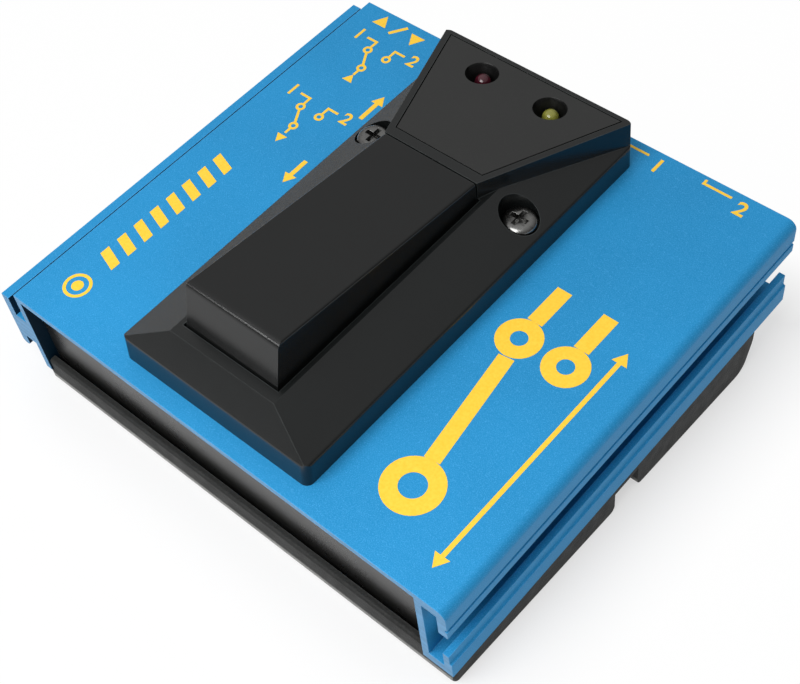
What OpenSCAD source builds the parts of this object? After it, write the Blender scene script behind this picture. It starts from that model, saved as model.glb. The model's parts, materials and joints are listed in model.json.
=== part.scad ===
// Foot-operated two-way selector with a hinged pedal, in millimetres
// Frame: +X right, +Y to the rear, +Z up, origin on the floor below the middle of the case.
// The case leans on its wedge soles, so most pieces are drawn in the case's own frame: x across,
// y back from the front end, z up from the top face of the plate. on_body() sets them in place.

/* [Case] */
// Overall width across the linking rail
body_w = 100; // [98:0.5:106]
// Length of the extrusion
body_l = 91; // [90:0.5:98]
// Height from the walls' feet to the top face
wall_h = 20.5; // [20.2:0.1:23]
// Thickness of the top plate
plate_t = 1.3; // [1:0.1:1.5]
// Thickness of the side walls
wall_t = 1.4; // [1:0.1:2]
// Radius of the top right edge
top_edge_r = 1.8; // [1:0.1:3]
// Lean of the case, rear end up
tilt = 4.5; // [3.5:0.1:5]

/* [Linking profile] */
// Depth of the linking profile on each side
link_d = 4.6; // [4.4:0.1:5.5]
// Thickness of the channel's roof
roof_t = 2.2; // [1.8:0.1:2.6]
// Thickness of the channel's upper lip
lip_t = 1.8; // [1.4:0.1:2.2]
// Height of the channel's upper lip
lip_h = 7.2; // [6:0.1:8]
// Width of the fine grooves along the right side
groove_w = 0.8; // [0.6:0.1:1.4]
// Depth of the upper groove below the top face
groove_z = 5; // [4:0.1:6]
// Setback of the channel's lower rib from the right side
rib_inset = 0.4; // [0.2:0.1:0.8]
// Thickness of the channel's lower rib
rib_t = 1.2; // [1:0.1:1.6]
// Depth of the lower rib's top below the top face
rib_top = 14; // [12.5:0.1:14.5]
// Thickness of the channel's floor
ledge_t = 2.3; // [1.6:0.1:3]
// Height of the channel's lower fascia
fascia_h = 4.4; // [3:0.1:5]
// Thickness of the linking rail
rail_t = 1.9; // [1.4:0.1:2.2]
// Depth of the rail's top below the top face
rail_top = 2.9; // [2.5:0.1:4]
// Depth of the rail's foot below the top face
rail_foot = 16.5; // [15.5:0.1:17.5]
// Clearance between the rail's web and the mouth of a channel
link_gap = 0.4; // [0.2:0.1:0.8]

/* [Base] */
// Thickness of the base plate
base_t = 1.5; // [1.2:0.1:1.8]
// Thickness of the sole below the base plate at the front end
sole_t = 1.5; // [1.2:0.1:2.5]
// Thickness of the soles' rim around the base plate
sole_rim = 0.9; // [0.7:0.1:1.2]
// Gap between the soles' rim and the extrusion
sole_gap = 0.35; // [0.2:0.05:0.6]
// Setback of the soles from the right side
sole_side = 0.1; // [0:0.1:0.6]
// Setback of the front sole from the extrusion's front end
sole_front = 0.3; // [0.1:0.1:1]
// Length of the arch between the soles
arch_l = 6.5; // [5:0.5:8]
// Reach of the rear sole before its screw wells
arch_set = 5; // [4:0.1:7]
// Run of the rear sole's heel, from the floor up to the rear panel
heel_run = 3; // [1.5:0.1:5]
// Corner radius of the soles in plan
sole_r = 1; // [0.6:0.1:3]
// Height of the front sole's lip above the base plate
toe_lip_h = 2.9; // [2:0.1:3.5]
// Thickness of the front sole's lip
toe_lip_t = 1.3; // [1:0.1:1.5]
// Edge radius of the front sole's toe
toe_r = 0.6; // [0.4:0.1:0.8]
// Edge radius of the soles at the arch
arch_r = 1.2; // [0.6:0.1:1.4]
// Edge radius of the rear sole's heel
heel_r = 3; // [2:0.1:4]
// Thickness of the front and rear panels
panel_t = 2; // [1.6:0.1:2.5]
// Setback of the front panel
front_recess = 2.2; // [1.8:0.1:3]
// Setback of the rear panel
rear_recess = 8; // [7.5:0.1:9]
// Gap between the panels and the side walls
panel_gap = 0.2; // [0.1:0.05:0.4]
// Distance of the outer posts from the side walls
post_side = 6; // [5:0.1:8]
// Distance of the front posts from the front panel
post_set = 5.8; // [4:0.1:7]
// Least gap around the posts
post_gap = 0.3; // [0.2:0.05:0.6]
// Radius of the posts between base and top plate
post_r = 3.2; // [2.6:0.1:3.6]
// Radius of the shanks of the case's screws
screw_r = 1.5; // [1.2:0.05:1.6]
// Radius of the heads of the case's screws
head_r = 3.1; // [2.6:0.1:3.2]
// Height of the heads of the base's screws
base_head_h = 1.7; // [1.4:0.1:2]
// Length of the base's screws in their posts
post_thread = 7; // [5:0.5:8]
// Depth of the posts' holes past their screws
post_spare = 2; // [1:0.5:3]
// Radius of the wells around the base's screws
well_r = 4; // [3.6:0.1:4.5]
// Clearance of a hole around its screw
hole_gap = 0.2; // [0.1:0.05:0.3]

/* [Pedal housing] */
// Width of the housing at its foot
housing_w = 41; // [39:0.5:44]
// Front edge of the housing on the plate
housing_front = 3.3; // [2:0.1:5]
// Distance of the housing from the plate's rear end
housing_end = 5; // [4:0.1:6.5]
// Height of the upright rim
rim_h = 4.7; // [4:0.1:5.2]
// Lean of the rim's front over its height
rim_lean = 0.5; // [0:0.1:0.8]
// Lean of the rear over the housing's height
rear_lean = 0.3; // [0:0.1:0.5]
// Radius of the housing's upright corners
corner_r = 1.4; // [0.8:0.1:1.6]
// Radius of the edge between the rim and the slopes
rim_edge_r = 0.8; // [0.4:0.1:1.2]
// Width of the ridge
ridge_w = 22.6; // [22:0.1:25]
// Height of the ridge
ridge_h = 9.6; // [9.2:0.1:10.5]
// Run of the front slope from rim to ridge
slope_run = 3.7; // [3:0.1:4.5]
// Thickness of the side walls of the housing
housing_wall = 1.8; // [1.4:0.1:2]
// Depth of the roof below its outer face
housing_roof = 2.2; // [1.8:0.1:2.4]
// Front edge of the pedal opening
opening_front = 9.5; // [9:0.1:10]
// Gap between the pedal's sides and its opening
pedal_gap = 0.5; // [0.35:0.05:0.8]
// Distance of each housing screw from the centre line
screw_x = 16; // [15:0.1:17]
// Distance of the housing screws behind the seam
screw_set = 3.1; // [2:0.1:5]
// Radius of the screws' counterbores
counterbore_r = 3.4; // [3.3:0.1:4]
// Height of the counterbores' floor
counterbore_z = 4.4; // [4:0.1:4.6]
// Wall around the counterbores
counterbore_wall = 1.2; // [0.8:0.1:1.6]
// Height of the heads of the housing's screws
head_h = 2; // [1.8:0.1:2.4]
// Radius of the nuts under the top plate, across their corners
plate_nut_r = 3.2; // [2.9:0.1:3.4]
// Thickness of the nuts under the top plate
plate_nut_t = 2.4; // [2:0.1:3]
// Thickness of the ears that hold the hinge pin
ear_t = 2.4; // [2:0.1:3]
// Half the length of the ears
ear_l = 4; // [3.4:0.1:4.4]

/* [Pedal] */
// Width of the pedal
pedal_w = 19.8; // [19:0.1:20.5]
// Front edge of the pedal's top before rounding
pedal_front = 12; // [11.6:0.1:13]
// Fall of the top from front to rear, in degrees
crown = 6.45; // [6:0.05:7]
// Place of the seam between pedal and lamp block
seam_y = 57.1; // [56.8:0.1:57.6]
// Height of the pedal's top at the seam
seam_z = 13.2; // [12.8:0.1:14]
// Gap at the seam
seam_gap = 0.3; // [0.3:0.05:0.5]
// Lean of the pedal's front face, in degrees
pedal_lean = 14; // [12:0.5:16]
// Radius of the pedal's top edges at its sides
pedal_edge_r = 0.5; // [0.4:0.1:1]
// Radius of the pedal's top front edge
pedal_nose_r = 1.3; // [0.6:0.1:1.6]
// Thickness of the pedal's shell
pedal_t = 2; // [1.6:0.1:2.4]
// Height of the pedal's lower edge above the plate
pedal_foot = 5.4; // [5.2:0.1:5.8]
// Greatest turn of the pedal, in degrees
pedal_turn = 5.5; // [4:0.1:5.5]
// Radius of the hinge pin
pin_r = 1.5; // [1.2:0.1:1.7]
// Place of the hinge pin
pin_y = 53.6; // [53.2:0.1:53.8]
// Height of the hinge pin
pin_z = 5; // [4.8:0.1:5.2]
// Running clearance of the hinge pin and the plunger
run_gap = 0.05; // [0.03:0.01:0.08]
// Clearance of the hinge pin in its ears
press_gap = 0.01; // [0:0.01:0.03]
// Radius of the pedal's bosses around the pin
boss_r = 3; // [2.6:0.1:3.2]
// Reach of the lip that holds the pedal down
catch_l = 1.6; // [1.3:0.1:1.9]
// Width of that lip
catch_w = 16; // [12:0.5:17]
// Length of the stop under the lip
bumper_l = 4; // [3:0.1:5]
// Corner radius of that stop
bumper_r = 1.5; // [0.6:0.1:1.5]
// Thickness of the rib that presses the switch
rib_w = 2; // [1.4:0.1:2.4]
// Gap between that rib and the plunger, and between the lip and its stops
press_room = 0.3; // [0.2:0.05:0.4]
// Taper of the pedal's sides over their height
pedal_draft = 0.3; // [0:0.05:0.4]

/* [Lamp block] */
// Margin of the inset plate
inset = 1.2; // [1:0.1:1.5]
// Margin of the inset plate at the seam
inset_front = 2; // [1.6:0.1:3]
// Thickness of the inset plate
inset_t = 1.2; // [1:0.1:1.6]
// Gap around the inset plate
inset_gap = 0.2; // [0.1:0.05:0.3]
// Width of the ledge under the inset plate
inset_ledge = 1.2; // [0.8:0.1:1.6]
// Thickness of that ledge
inset_seat = 1; // [0.8:0.1:1.2]
// Distance of each lamp from the centre line
led_x = 7.4; // [6.5:0.1:8.5]
// Distance of the lamps from the housing's rear
led_set = 6.2; // [5.6:0.1:7]
// Radius of a lamp
led_r = 1.5; // [1.2:0.1:1.6]
// Mouth radius of a lamp's conical hole
cone_r = 3; // [2.7:0.1:3.4]
// Depth of a lamp's conical hole
cone_d = 3; // [2.6:0.1:3.4]
// Wall of the tubes around the conical holes
cone_wall = 0.8; // [0.6:0.1:0.9]
// Clearance of a lamp in its hole
led_gap = 0.2; // [0.15:0.05:0.3]
// Height of a lamp
led_h = 5.2; // [4.6:0.1:5.4]
// Reach of a lamp into its conical hole
led_rise = 2.3; // [1.8:0.1:2.6]
// Width of a lamp's flange
led_flange = 0.4; // [0.3:0.05:0.5]
// Thickness of a lamp's flange
led_flange_t = 1; // [0.8:0.1:1.2]
// Distance of a lamp's legs from its axis
leg_x = 0.9; // [0.7:0.05:1]
// Thickness of a lamp's legs
leg_w = 0.5; // [0.4:0.05:0.6]
// Thickness of the lamps' board
led_board_t = 1.2; // [1:0.1:1.6]
// Reach of the lamps' board past the lamps
led_board_edge = 4; // [3:0.1:4.5]
// Width of the lamps' cable
ribbon_w = 4; // [3:0.5:4]
// Gap between the lamps' cable and the switch's side
ribbon_gap = 0.6; // [0.4:0.1:0.8]
// Thickness of the lamps' cable
ribbon_t = 0.5; // [0.4:0.05:0.6]
// Length of the slot that the cable goes through
slot_l = 4; // [3.6:0.1:5]
// Distance of the slot behind the housing's screws
slot_set = 0.8; // [0.4:0.1:1.2]

/* [Switch and spring] */
// Distance of the plunger from the front end
switch_y = 40; // [39.9:0.1:42]
// Side of the switch's body
switch_w = 12.5; // [11:0.1:13]
// Height of the switch's body
switch_h = 8.3; // [7:0.1:9]
// Corner radius of the switch's body
switch_r = 1.2; // [0.8:0.1:1.6]
// Radius of the plunger's rod
plunger_r = 2; // [1.6:0.1:2.5]
// Top of the plunger above the plate
plunger_top = 8; // [7:0.1:8.4]
// Distance of the return spring from the front end
spring_y = 20; // [18:0.5:22]
// Mean radius of the return spring
spring_r = 3.6; // [3.2:0.1:4.2]
// Radius of the spring's wire
wire_r = 0.45; // [0.35:0.05:0.5]
// Turns of the return spring
spring_turns = 7; // [5:1:8]
// Height of each flat-laid end turn, as a share of the spring's height
end_rise = 0.12; // [0.08:0.01:0.14]
// Gap between the spring and the pedal
end_gap = 0.2; // [0.1:0.05:0.3]
// Clearance of the spring's cup and pegs
spring_play = 0.4; // [0.3:0.05:0.6]
// Height of the pegs inside the spring's ends
spring_peg = 3; // [2:0.1:4]
// Thickness of the spring cup's floor and wall
cup_t = 1.2; // [1:0.1:1.4]
// Wall of the collar around the plunger
switch_collar = 1.2; // [0.8:0.1:1.4]
// Height of that collar
switch_neck = 2; // [1.6:0.1:2.4]
// Length of the plunger inside the switch's body
plunger_in = 2.6; // [2.2:0.1:2.8]
// Room below the plunger
plunger_room = 1.9; // [1.6:0.1:2.2]
// Width of the plunger cap's rim and its edge radius
cap_rim = 1.6; // [1.2:0.1:1.8]
// Room around the plunger's cap in the top plate
cap_room = 1; // [0.6:0.1:1.4]

/* [Jacks] */
// Distance of the shared jack from the left wall
jack_left = 13; // [11:0.1:18]
// Distance of the second selected jack from the right wall
jack_right = 11.2; // [10:0.1:12]
// Distance between the selected jacks
jack_pitch = 16.8; // [16:0.1:18]
// Depth of the jacks' axis below the top face
jack_z = 11; // [10.5:0.1:11.3]
// Radius of a jack's bore
jack_bore_r = 3.25; // [3.2:0.01:3.3]
// Radius of a jack's threaded bush
bush_r = 4.7; // [4.5:0.1:5]
// Reach of the bush past the rear panel
bush_l = 6.6; // [5.5:0.1:7]
// Width of a jack's body
jack_w = 14; // [12:0.1:15]
// Length of a jack's body
jack_l = 16.5; // [14:0.1:17]
// Width of a jack's nut across its flats
nut_w = 12.6; // [11.5:0.1:13]
// Thickness of a jack's nut
nut_t = 2.4; // [2:0.1:3]
// Thickness of a jack's washer
washer_t = 0.6; // [0.4:0.1:0.8]
// Reach of a washer past its nut
washer_edge = 0.9; // [0.6:0.1:1]
// Clearance around a jack's bush
bush_gap = 0.1; // [0.05:0.01:0.15]
// Corner radius of a jack's body
jack_r = 1.5; // [1:0.1:2]
// Thickness of the solder lugs
lug_t = 0.5; // [0.4:0.05:0.8]
// Length of the solder lugs
lug_l = 4; // [3:0.1:4.5]
// Width of the solder lugs
lug_w = 2; // [1.6:0.1:2.4]
// Depth of the solder lugs below a jack's axis
lug_drop = 5.2; // [4.6:0.1:5.6]
// Distance of the solder lugs from a jack's sides
lug_inset = 1.6; // [1.2:0.1:2]
// Radius of the jacks' leads
lead_r = 0.6; // [0.5:0.05:0.7]

/* [Battery and board] */
// Length of the battery without its terminals
battery_l = 46; // [44:0.5:47]
// Width of the battery
battery_w = 26.5; // [25:0.1:26.5]
// Thickness of the battery
battery_t = 17.5; // [16:0.1:17.5]
// Distance of the battery from the left wall
battery_side = 3.2; // [3:0.1:4]
// Distance of the battery from the front panel
battery_set = 1.8; // [1.3:0.1:2]
// Room around the battery
battery_gap = 0.6; // [0.4:0.1:0.8]
// Corner radius of the battery and its snap
battery_r = 1.5; // [1:0.1:2]
// Radius of the battery's small terminal
terminal_r = 3; // [2.8:0.1:3.2]
// Length of the battery's terminals
terminal_l = 2.5; // [2:0.1:2.8]
// Distance of the terminals from the battery's middle
terminal_y = 6.4; // [6.2:0.1:6.6]
// Thickness of the battery snap
snap_l = 3.6; // [3.2:0.1:4]
// Width of the battery snap
snap_w = 12; // [10:0.5:14]
// Gap between battery and snap
snap_gap = 0.3; // [0.2:0.05:0.4]
// Radius of the battery's leads
battery_lead_r = 0.7; // [0.6:0.05:0.8]
// Thickness of the hatch
hatch_t = 2; // [1.6:0.1:2.2]
// Height of the hatch's underside above the floor
hatch_lift = 0.7; // [0.5:0.1:0.9]
// Gap around the hatch
hatch_gap = 0.35; // [0.3:0.05:0.5]
// Thickness of the collar around the hatch
collar_t = 1.6; // [1.4:0.1:2]
// Radius of the hatch's pins
hatch_pin_r = 0.6; // [0.5:0.05:0.7]
// End clearance of the hatch's pins
hatch_pin_gap = 0.1; // [0.05:0.05:0.2]
// Depth of the hatch's finger groove
finger_d = 0.6; // [0.4:0.1:0.8]
// Length of the finger groove
finger_l = 16; // [12:0.5:20]
// Width of the finger groove
finger_w = 4.8; // [4:0.1:5.4]
// Distance of the grip lines from the hatch's front
grip_y = 10; // [9:0.1:11]
// Distance between the grip lines
grip_pitch = 2; // [1.6:0.1:2.4]
// Width of a grip line
grip_w = 0.8; // [0.6:0.1:1]
// Distance of the grip lines from the hatch's ends
grip_inset = 8; // [5:0.5:12]
// Margin of the foam wedge at the battery's ends
pad_inset = 6; // [4:0.5:10]
// Distance of the circuit board from the left wall
board_left_gap = 16; // [15:0.1:17]
// Distance of the circuit board from the right wall
board_right_gap = 11; // [10.5:0.1:12]
// Distance of the circuit board from the jacks' lugs
board_rear_gap = 5.5; // [5:0.1:7]
// Gap between battery and circuit board
board_gap = 0.7; // [0.5:0.1:1]
// Thickness of the circuit board
board_t = 1.6; // [1.2:0.1:1.8]
// Height of the board's stand-offs
standoff_h = 3.4; // [3:0.1:4]
// Radius of the board's stand-offs
standoff_r = 2.5; // [2:0.1:2.7]
// Radius of the shanks of the board's screws
board_screw_r = 0.8; // [0.7:0.05:1]
// Radius of the heads of the board's screws
board_head_r = 1.9; // [1.5:0.1:2.1]
// Height of the heads of the board's screws
board_head_h = 1.3; // [1:0.1:1.6]
// Distance of the board's holes from its sides
hole_inset = 3; // [2.8:0.1:3.4]
// Radius of the resistors
resistor_r = 1.1; // [0.9:0.1:1.3]
// Length of the resistors
resistor_l = 6.4; // [5:0.1:7]
// Distance between the resistors
resistor_pitch = 4.2; // [3.6:0.1:4.5]
// Radius of the capacitor
capacitor_r = 3.1; // [2.5:0.1:3.4]
// Height of the capacitor
capacitor_h = 10.5; // [8:0.5:12]
// Width of the board's connector
header_w = 9; // [8:0.5:10]
// Depth of the board's connector
header_t = 4; // [3:0.1:5]
// Height of the board's connector
header_h = 6; // [5:0.1:8]
// Gap between the connector and the switch
header_gap = 0.5; // [0.4:0.1:0.8]
// Distance of the leads' ends from the board's rear edge
lead_inset = 4; // [3.8:0.1:4.4]

/* [Hidden] */
$fn = 48;

// Small overrun that lets a cut pass cleanly through a face
over = 1;
half_w = body_w / 2;
// Outer faces of the side walls, behind the rail and the channel
wall_x = half_w - link_d;
// Height of the plate's front edge above the floor
front_h = wall_h + base_t + sole_t;
body_y = -(body_l * cos(tilt) + wall_h * sin(tilt)) / 2;
base_top = -wall_h;
base_foot = base_top - base_t;
base_left = -wall_x;
base_right = half_w - sole_side;
// Inner faces of the side walls
inner_w = wall_x - wall_t;
rear_panel_y = body_l - rear_recess;
sole_rear = rear_panel_y - heel_run;
housing_rear = body_l - housing_end;
block_front = seam_y + seam_gap / 2;
// The lamp block widens from the pedal's width to the housing's
block_spread = (housing_w - pedal_w) / 2 / (housing_rear - block_front);
pedal_rear = seam_y - seam_gap / 2;
led_y = housing_rear - led_set;
screw_y = seam_y + screw_set;
// Sides of the pedal's opening, and the ends of the hinge pin
ear_x = pedal_w / 2 + pedal_gap;
pin_reach = ear_x + ear_t;
battery_x = battery_side - inner_w;
battery_y = front_recess + panel_t + battery_set;
battery_z = base_top + snap_gap;
snap_x = battery_x + battery_l + snap_gap;
hatch_x0 = battery_x - battery_gap;
hatch_x1 = snap_x + snap_l + battery_gap;
hatch_y0 = row_y(battery_y - battery_gap, base_foot);
hatch_y1 = row_y(battery_y + battery_w + battery_gap, base_foot);
hatch_z = hatch_lift + hatch_t / 2;
hatch_axis_y = hatch_y1 - hatch_t / 2;
board_top = base_top + standoff_h + board_t;
board_left = board_left_gap - inner_w;
board_right = inner_w - board_right_gap;
board_front = battery_y + battery_w + board_gap;
board_rear = rear_panel_y - panel_t - jack_l - lug_l - board_rear_gap;
jack_b_x = inner_w - jack_right;
jack_a_x = jack_b_x - jack_pitch;
jack_x = [jack_left - inner_w, jack_a_x, jack_b_x];
lug_x = jack_w / 2 - lug_inset;
switch_top = board_top + switch_h;
post_x = inner_w - post_side;
post_front = front_recess + panel_t + post_set;
// The rear posts stand before the jacks' lugs, and one front post beside the battery's hatch
post_rear = rear_panel_y - panel_t - jack_l - lug_l - post_r - post_gap;
post_mid = hatch_x1 + hatch_gap + collar_t + well_r + post_gap;
sole_mid_rear = post_rear - well_r - arch_set;
sole_mid_front = sole_mid_rear - arch_l;
post_places = [[post_mid, post_front], [post_x, post_front], [-post_x, post_rear], [post_x, post_rear]];
// The board's front holes keep clear of the battery's collar
standoff_places = [
    for (y = [board_front + hole_inset + collar_t + hatch_gap, board_rear - hole_inset])
        for (x = [board_left + hole_inset, board_right - hole_inset]) [x, y]
];
peg_r = spring_r - wire_r - spring_play;
collar_r = cone_r + cone_wall;
// Thickness of the stop that the lip meets at the end of its way
bumper_t = pedal_foot - (pin_y - opening_front + catch_l) * sin(pedal_turn) - press_room;
// Left edge of the lamps' cable, and the front edge of the slot that it goes through
ribbon_x = switch_w / 2 + ribbon_gap;
slot_y = screw_y + slot_set;
spring_top = crown_z(spring_y) - pedal_t / cos(crown);

function row_y(y, z) = body_y + y * cos(tilt) - z * sin(tilt);
function row_z(y, z) = front_h + y * sin(tilt) + z * cos(tilt);
// Level of the floor below a point y back along the case
function floor_z(y) = -(front_h + y * sin(tilt)) / cos(tilt);
// Level of the shared top of pedal and lamp block
function crown_z(y) = seam_z + (seam_y - y) * tan(crown);
// Half the width of the lamp block
function block_half(y) = pedal_w / 2 + block_spread * (y - block_front);

function unit(v) = v / norm(v);
// Points of the round of radius r that replaces corner b of the path a, b, c
function round_corner(a, b, c, r, steps = 6) =
    let (u = unit(a - b), v = unit(c - b), half = acos(u * v) / 2,
         o = b + unit(u + v) * r / sin(half),
         p = b + u * r / tan(half), q = b + v * r / tan(half),
         from = atan2(p.y - o.y, p.x - o.x), to = atan2(q.y - o.y, q.x - o.x),
         sweep = (to - from + 540) % 360 - 180)
    [for (i = [0 : steps]) o + r * [cos(from + sweep * i / steps), sin(from + sweep * i / steps)]];

// Sets a piece drawn in the case's frame on its leaning place
module on_body() {
    translate([0, body_y, front_h]) rotate([tilt, 0, 0]) children();
}

// Extrudes a side outline, drawn as [y, z], from x0 to x1
module across(x0, x1) {
    translate([x0, 0, 0]) rotate([90, 0, 90]) linear_extrude(x1 - x0) children();
}

// Extrudes an end outline, drawn as [x, z], from y0 to y1
module along(y0, y1) {
    translate([0, y1, 0]) rotate([90, 0, 0]) linear_extrude(y1 - y0) children();
}

// Box between two opposite corners
module block(low, high) {
    translate(low) cube(high - low);
}

module mirrored() {
    children();
    mirror([1, 0, 0]) children();
}

// Rectangle with round corners, from corner a to corner b
module round_rect(a, b, r) {
    corners = [a, [b.x, a.y], b, [a.x, b.y]];
    polygon([for (i = [0 : 3])
        each round_corner(corners[(i + 3) % 4], corners[i], corners[(i + 1) % 4], r)]);
}

// Round tube of radius r swept along a list of points
module tube(points, r, sides = 8) {
    count = len(points);
    tangents = [for (i = [0 : count - 1])
        unit(points[min(i + 1, count - 1)] - points[max(i - 1, 0)])];
    rings = [for (i = [0 : count - 1])
        let (t = tangents[i],
             side = unit(cross(t, abs(t.x) < 0.9 ? [1, 0, 0] : [0, 0, 1])),
             up = cross(t, side))
        for (k = [0 : sides - 1])
            let (a = 360 * k / sides) points[i] + r * (side * cos(a) + up * sin(a))];
    faces = [
        for (i = [0 : count - 2]) for (k = [0 : sides - 1])
            let (a = i * sides + k, b = i * sides + (k + 1) % sides)
            each [[a, b, b + sides], [a, b + sides, a + sides]],
        for (k = [1 : sides - 2]) [0, k + 1, k],
        for (k = [1 : sides - 2]) let (e = (count - 1) * sides) [e, e + k, e + k + 1]
    ];
    polyhedron(rings, [for (f = faces) [f[2], f[1], f[0]]]);
}

// Outline of a strip of thickness t along a flat path
function strip(path, t) =
    let (last = len(path) - 1,
         turned = [for (i = [0 : last - 1]) let (d = unit(path[i + 1] - path[i])) [-d.y, d.x]],
         normals = [for (i = [0 : last])
             let (a = turned[max(i - 1, 0)], b = turned[min(i, last - 1)], n = unit(a + b)) n / (n * a)])
    concat([for (i = [0 : last]) path[i] + normals[i] * t / 2],
           [for (i = [last : -1 : 0]) path[i] - normals[i] * t / 2]);

// Smooth path through hand-chosen points, with a few steps between each pair
function smooth(p, steps = 4) = [
    for (i = [0 : len(p) - 2]) for (k = [0 : steps - 1])
        let (t = k / steps, a = p[max(i - 1, 0)], b = p[i], c = p[i + 1], d = p[min(i + 2, len(p) - 1)])
        b + (c - a) * t / 2 + (2 * a - 5 * b + 4 * c - d) * t * t / 2
          + (3 * b - a - 3 * c + d) * t * t * t / 2,
    p[len(p) - 1]
];

// Wire along hand-chosen points, whose two end stretches run straight
module wire(p, r) {
    last = len(p) - 1;
    tube(concat([p[0]], smooth([for (i = [1 : last - 1]) p[i]]), [p[last]]), r);
}

// Pan-head screw with its seat at z = 0 and its shank pointing down
module pan_screw(head_r, head_h, shank_r, shank_l) {
    dome_share = 0.55;
    cross_share = 0.28;
    rise = head_h * dome_share;
    flat_r = head_r * dome_share;
    cross_w = head_r * cross_share;
    cross_foot = head_h / 3;
    difference() {
        union() {
            rotate_extrude() polygon(concat(
                [[0, 0], [head_r, 0]],
                [for (a = [0 : 15 : 90])
                    [flat_r + (head_r - flat_r) * cos(a), head_h - rise + rise * sin(a)]],
                [[0, head_h]]));
            translate([0, 0, -shank_l]) cylinder(r = shank_r, h = shank_l);
        }
        for (turn = [0, 90]) rotate(turn) along(-cross_w / 2, cross_w / 2) polygon([
            [-flat_r / 2, cross_foot], [flat_r / 2, cross_foot], [flat_r, head_h],
            [flat_r, head_h + over], [-flat_r, head_h + over], [-flat_r, head_h]]);
    }
}

// End profile of the extrusion
module shell_profile() {
    rib_x = half_w - rib_inset - rib_t;
    difference() {
        union() {
            translate([-wall_x, -plate_t]) square([half_w + wall_x, plate_t]);
            translate([wall_x - wall_t, -roof_t]) square([link_d + wall_t, roof_t]);
            for (x = [-wall_x, wall_x - wall_t])
                translate([x, -wall_h]) square([wall_t, wall_h]);
            translate([half_w - lip_t, -lip_h]) square([lip_t, lip_h]);
            translate([wall_x - wall_t, -wall_h]) square([link_d + wall_t, ledge_t]);
            translate([rib_x, -wall_h]) square([rib_t, wall_h - rib_top]);
            translate([rib_x, -wall_h]) square([half_w - rib_x, fascia_h]);
            translate([-half_w, -rail_foot + rail_t / 2])
                square([rail_t, rail_foot - rail_t / 2 - rail_top]);
            translate([-half_w + rail_t / 2, -rail_foot + rail_t / 2]) circle(d = rail_t);
            translate([-half_w, -(rib_top - link_gap)])
                square([link_d, rib_top - lip_h - 2 * link_gap]);
        }
        translate([half_w - top_edge_r, -top_edge_r]) difference() {
            square(top_edge_r + over);
            circle(r = top_edge_r);
        }
        translate([half_w, -groove_z]) circle(d = groove_w);
        translate([half_w, -wall_h + fascia_h]) circle(d = groove_w);
    }
}

module body_shell() {
    color("dodgerblue") on_body() difference() {
        along(0, body_l) shell_profile();
        translate([0, 0, -plate_t - over]) linear_extrude(plate_t + 2 * over) {
            translate([0, switch_y]) circle(r = plunger_r + cap_rim + cap_room);
            mirrored() translate([screw_x, screw_y]) circle(r = screw_r + hole_gap);
            translate([ribbon_x - over, slot_y]) square([ribbon_w + 2 * over, slot_l]);
        }
    }
}

// Plan of the base, drawn in the case's frame
module base_plan(margin) {
    round_rect([base_left + margin, sole_front + margin],
               [base_right - margin, rear_panel_y - margin / 2], max(sole_r - margin, 0.5));
}

// Window of the hatch with its collar, upright on the floor
module hatch_window(margin, low, high) {
    block([hatch_x0 - margin, hatch_y0 - margin, low], [hatch_x1 + margin, hatch_y1 + margin, high]);
}

// Everything below the case's foot, down to a level
module under_case(depth) {
    on_body() block([base_left, 0, base_foot - depth], [base_right, body_l, base_foot + base_t / 2]);
}

module base_plate() {
    color("dimgray") difference() {
        union() {
            on_body() {
                translate([0, 0, base_foot]) linear_extrude(base_t) base_plan(sole_rim);
                for (p = standoff_places)
                    translate([p.x, p.y, base_foot]) cylinder(r = standoff_r, h = base_t + standoff_h);
            }
            intersection() {
                hatch_window(hatch_gap + collar_t, hatch_lift, front_h);
                under_case(front_h);
            }
        }
        hatch_window(hatch_gap, -over, front_h);
        translate([hatch_x0 - hatch_gap - collar_t / 2, hatch_axis_y, hatch_z]) rotate([0, 90, 0])
            cylinder(r = hatch_pin_r + run_gap, h = hatch_x1 - hatch_x0 + 2 * hatch_gap + collar_t);
        on_body() {
            for (p = post_places)
                translate([p.x, p.y, base_foot - over])
                    cylinder(r = screw_r + hole_gap, h = base_t + 2 * over);
            for (p = standoff_places)
                translate([p.x, p.y, base_top]) cylinder(r = board_screw_r, h = standoff_h + over);
        }
    }
}

// Sole with a given side outline, let in around the base plate
module sole(outline) {
    difference() {
        on_body() difference() {
            intersection() {
                across(base_left, base_right) polygon(outline);
                translate([0, 0, -2 * front_h]) linear_extrude(2 * front_h) base_plan(0);
            }
            translate([0, 0, base_foot]) linear_extrude(wall_h) base_plan(sole_rim);
            for (p = post_places)
                translate([p.x, p.y, -2 * front_h]) cylinder(r = well_r, h = 2 * front_h);
        }
        hatch_window(hatch_gap + collar_t, -over, front_h);
    }
}

// Lip of the front sole, upright on the base plate between the side walls
module toe_lip() {
    reach = inner_w - panel_gap;
    front = sole_front;
    back = front + toe_lip_t;
    high = base_top + toe_lip_h;
    on_body() across(-reach, reach) polygon(concat(
        [[front, base_foot]],
        round_corner([front, base_foot], [front, high], [back, high], toe_r),
        [[back, high], [back, base_top], [front + sole_rim, base_top], [front + sole_rim, base_foot]]));
}

module front_sole() {
    top = base_top - sole_gap;
    color("darkslategray") sole(concat(
        [[sole_front, top]],
        round_corner([sole_front, top], [sole_front, floor_z(sole_front)],
                     [sole_mid_front, floor_z(sole_mid_front)], toe_r),
        round_corner([sole_front, floor_z(sole_front)], [sole_mid_front, floor_z(sole_mid_front)],
                     [sole_mid_front, top], arch_r),
        [[sole_mid_front, base_foot], [sole_mid_rear, base_foot], [sole_mid_rear, top]]));
    color("darkslategray") toe_lip();
}

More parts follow.
